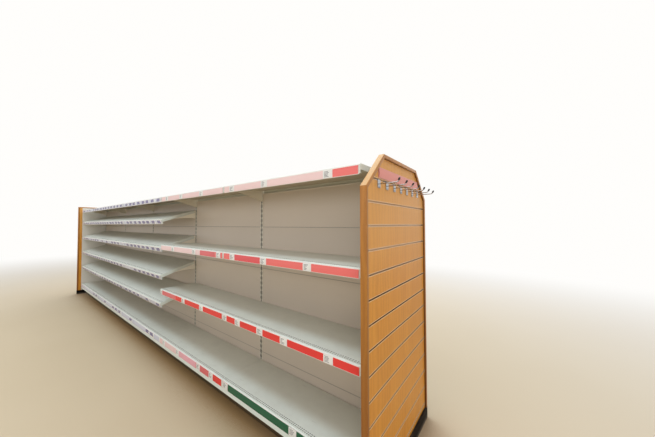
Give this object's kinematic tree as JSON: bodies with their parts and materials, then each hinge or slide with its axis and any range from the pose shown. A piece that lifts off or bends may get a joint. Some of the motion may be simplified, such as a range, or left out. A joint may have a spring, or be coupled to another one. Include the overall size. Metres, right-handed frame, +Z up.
{
  "type": "double-sided gondola shop shelving run with slatwall end panels",
  "caption": "Double-sided shop shelving run with level and sloping shelves and grooved wooden end panels.",
  "frame": {"origin": "on the floor, under the middle of the end upright at the near end, where the grooved panel with the hooks stands", "axes": "+Z up; +X along the run, out through the near end panel; +Y across the run, from the front shelves to the rear shelves"},
  "size_m": [5.49, 0.742, 1.443],
  "materials": {
    "cream_steel": "cream powder coat, satin",
    "back_steel": "beige powder coat, satin",
    "strip_plastic": "clip-on ticket strip, white, with a clear front over coloured paper",
    "beech_wood": "beech veneer, satin lacquer",
    "liner_plastic": "beige groove inserts",
    "black_laminate": "black laminate",
    "wire_chrome": "bright wire",
    "dark_plastic": "moulded"
  },
  "bodies": {
    "root": {"upright_1": "cream_steel", "upright_2": "cream_steel", "upright_3": "cream_steel", "upright_4": "cream_steel", "upright_5": "cream_steel", "upright_6": "cream_steel", "base_feet_front": "cream_steel", "base_feet_rear": "cream_steel", "levelling_feet": "dark_plastic", "tie_rails": "cream_steel", "back_panels_bay_1": "back_steel", "back_panels_bay_2": "back_steel", "back_panels_bay_3": "back_steel", "back_panels_bay_4": "back_steel", "back_panels_bay_5": "back_steel", "base_decks_front": "cream_steel", "base_decks_rear": "cream_steel", "kick_plates_front": "cream_steel", "kick_plates_rear": "cream_steel", "shelves_front_bay_1": "cream_steel", "shelves_front_bay_2": "cream_steel", "shelves_front_bay_3": "cream_steel", "shelves_front_bay_4": "cream_steel", "shelves_front_bay_5": "cream_steel", "shelves_rear_bay_1": "cream_steel", "shelves_rear_bay_2": "cream_steel", "shelves_rear_bay_3": "cream_steel", "shelves_rear_bay_4": "cream_steel", "shelves_rear_bay_5": "cream_steel", "brackets_front": "cream_steel", "brackets_rear": "cream_steel", "ticket_strips_front": "strip_plastic", "ticket_strips_rear": "strip_plastic", "near_end_frame": "beech_wood", "near_end_board": "beech_wood", "near_end_liners": "liner_plastic", "near_end_kick_board": "black_laminate", "near_end_ticket_rail": "strip_plastic", "near_end_hooks": "wire_chrome", "far_end_frame": "beech_wood", "far_end_board": "beech_wood", "far_end_liners": "liner_plastic", "far_end_kick_board": "black_laminate", "end_fixings": "cream_steel"}
  },
  "joints": []
}
